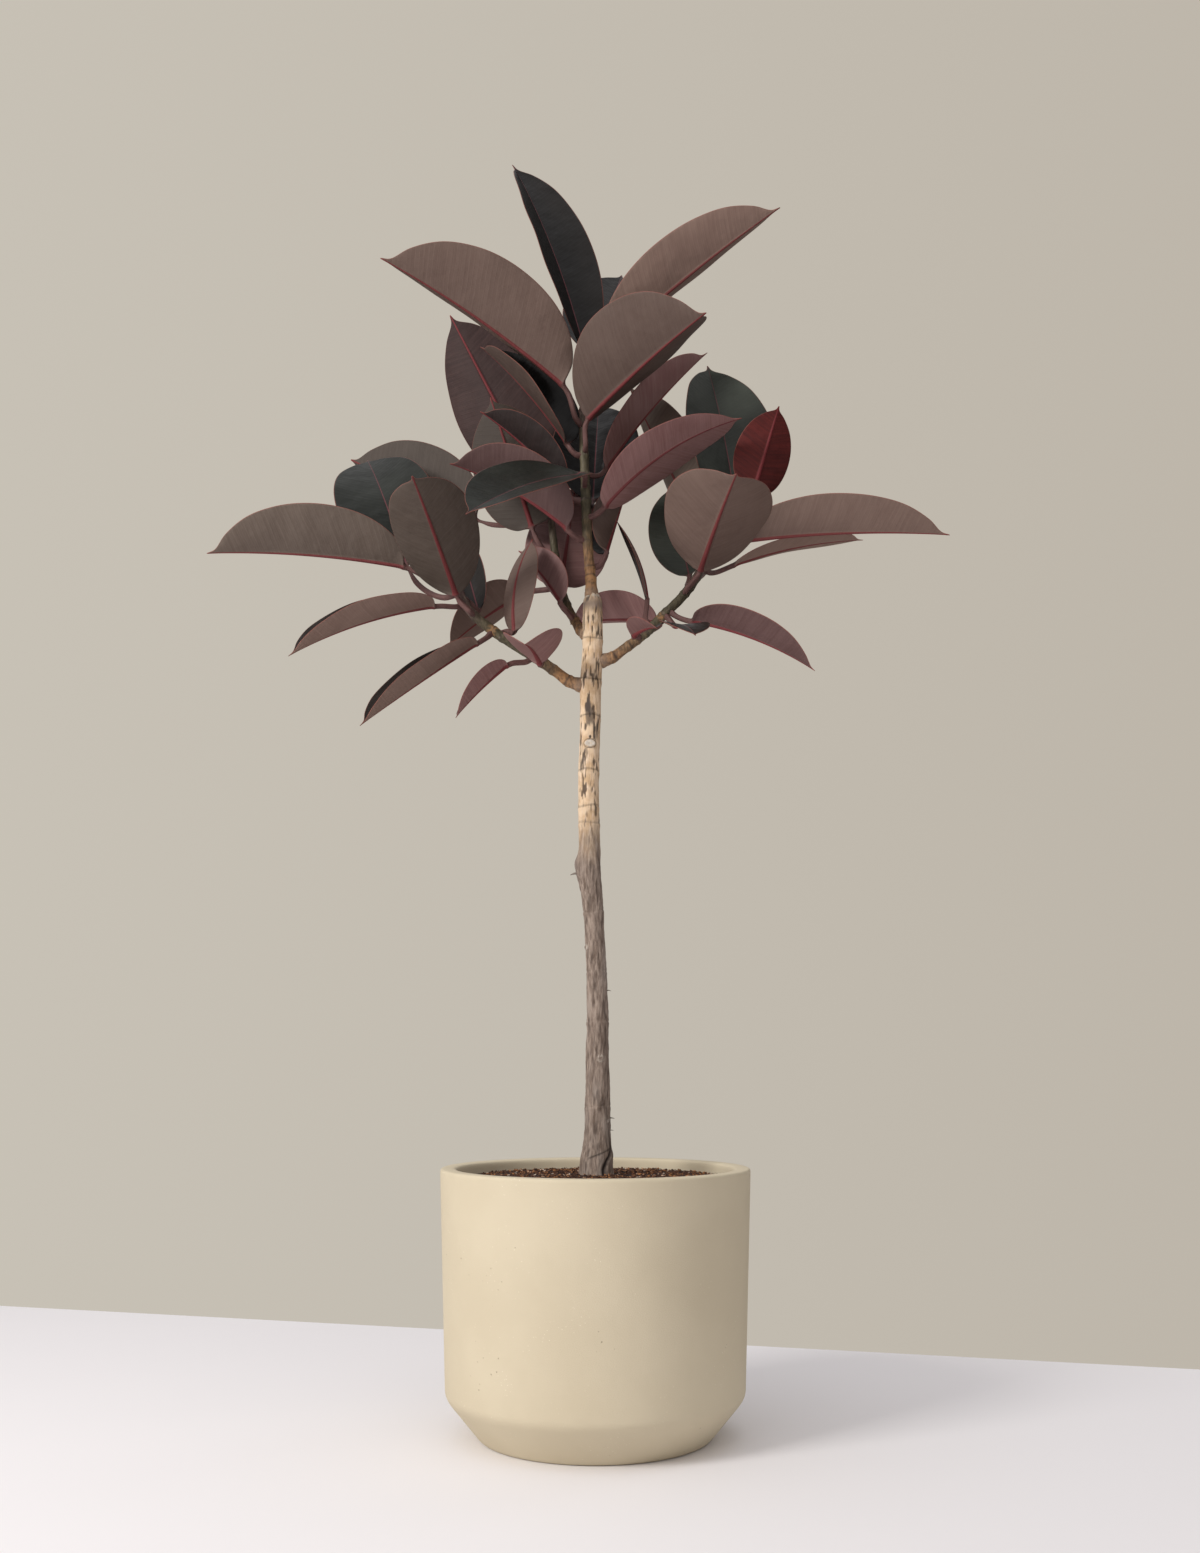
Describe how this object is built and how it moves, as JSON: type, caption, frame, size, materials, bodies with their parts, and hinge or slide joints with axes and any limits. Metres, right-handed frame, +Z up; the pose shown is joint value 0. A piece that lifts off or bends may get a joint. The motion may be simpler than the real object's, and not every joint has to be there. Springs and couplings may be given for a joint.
{
  "type": "potted rubber plant",
  "caption": "Rubber plant grown as a small standard tree, with a bare trunk, a leader, side branches and broad dark leaves, planted in a round matte pot.",
  "frame": {"origin": "centre of the pot's flat foot, on the surface it stands on", "axes": "+Z up along the plant, -Y towards the plant's front, +X to its right as seen from the front"},
  "size_m": [0.739, 0.305, 1.3315],
  "materials": {
    "pot": "matte, finely speckled cream",
    "soil": "rough, damp coir and bark",
    "bark": "rough, fissured bark",
    "greenwood": "satin young bark",
    "leaf": "satin, glossy dark green above and matte mauve-brown below",
    "young_leaf": "glossy deep red"
  },
  "bodies": {
    "root": {"pot": "pot", "soil": "soil", "trunk": "bark", "leader": "greenwood", "branch_left": "greenwood", "branch_right": "greenwood", "branch_back": "greenwood", "leaf_crown_upright": "leaf", "leaf_crown_left": "leaf", "leaf_crown_right": "leaf", "leaf_front_right_broad": "leaf", "leaf_right_narrow": "leaf", "leaf_behind_top": "leaf", "leaf_back_left_tall": "leaf", "leaf_left_strip": "leaf", "leaf_olive_left": "leaf", "leaf_dark_brown": "leaf", "leaf_pink_left": "leaf", "leaf_green_front": "leaf", "leaf_back_centre": "leaf", "leaf_right_pink": "leaf", "leaf_back_right": "leaf", "leaf_stem_fold": "leaf", "leaf_purple_hanging": "leaf", "leaf_grey_mid": "leaf", "leaf_red_mid": "leaf", "leaf_heart_front": "leaf", "leaf_small_lower_left": "leaf", "leaf_lower_left_large": "leaf", "leaf_left_long": "leaf", "leaf_left_big": "leaf", "leaf_left_green_round": "leaf", "leaf_left_front_olive": "leaf", "leaf_left_back_brown": "leaf", "leaf_left_green_narrow": "leaf", "leaf_left_lower_brown": "leaf", "leaf_right_front_broad": "leaf", "leaf_right_green": "leaf", "leaf_right_far": "leaf", "leaf_right_back_low": "leaf", "leaf_right_top_green": "leaf", "leaf_red_young": "young_leaf", "leaf_lower_right": "leaf", "leaf_behind_trunk": "leaf", "leaf_edge_on": "leaf", "leaf_small_right_front": "leaf", "leaf_right_low_green": "leaf"}
  },
  "joints": []
}
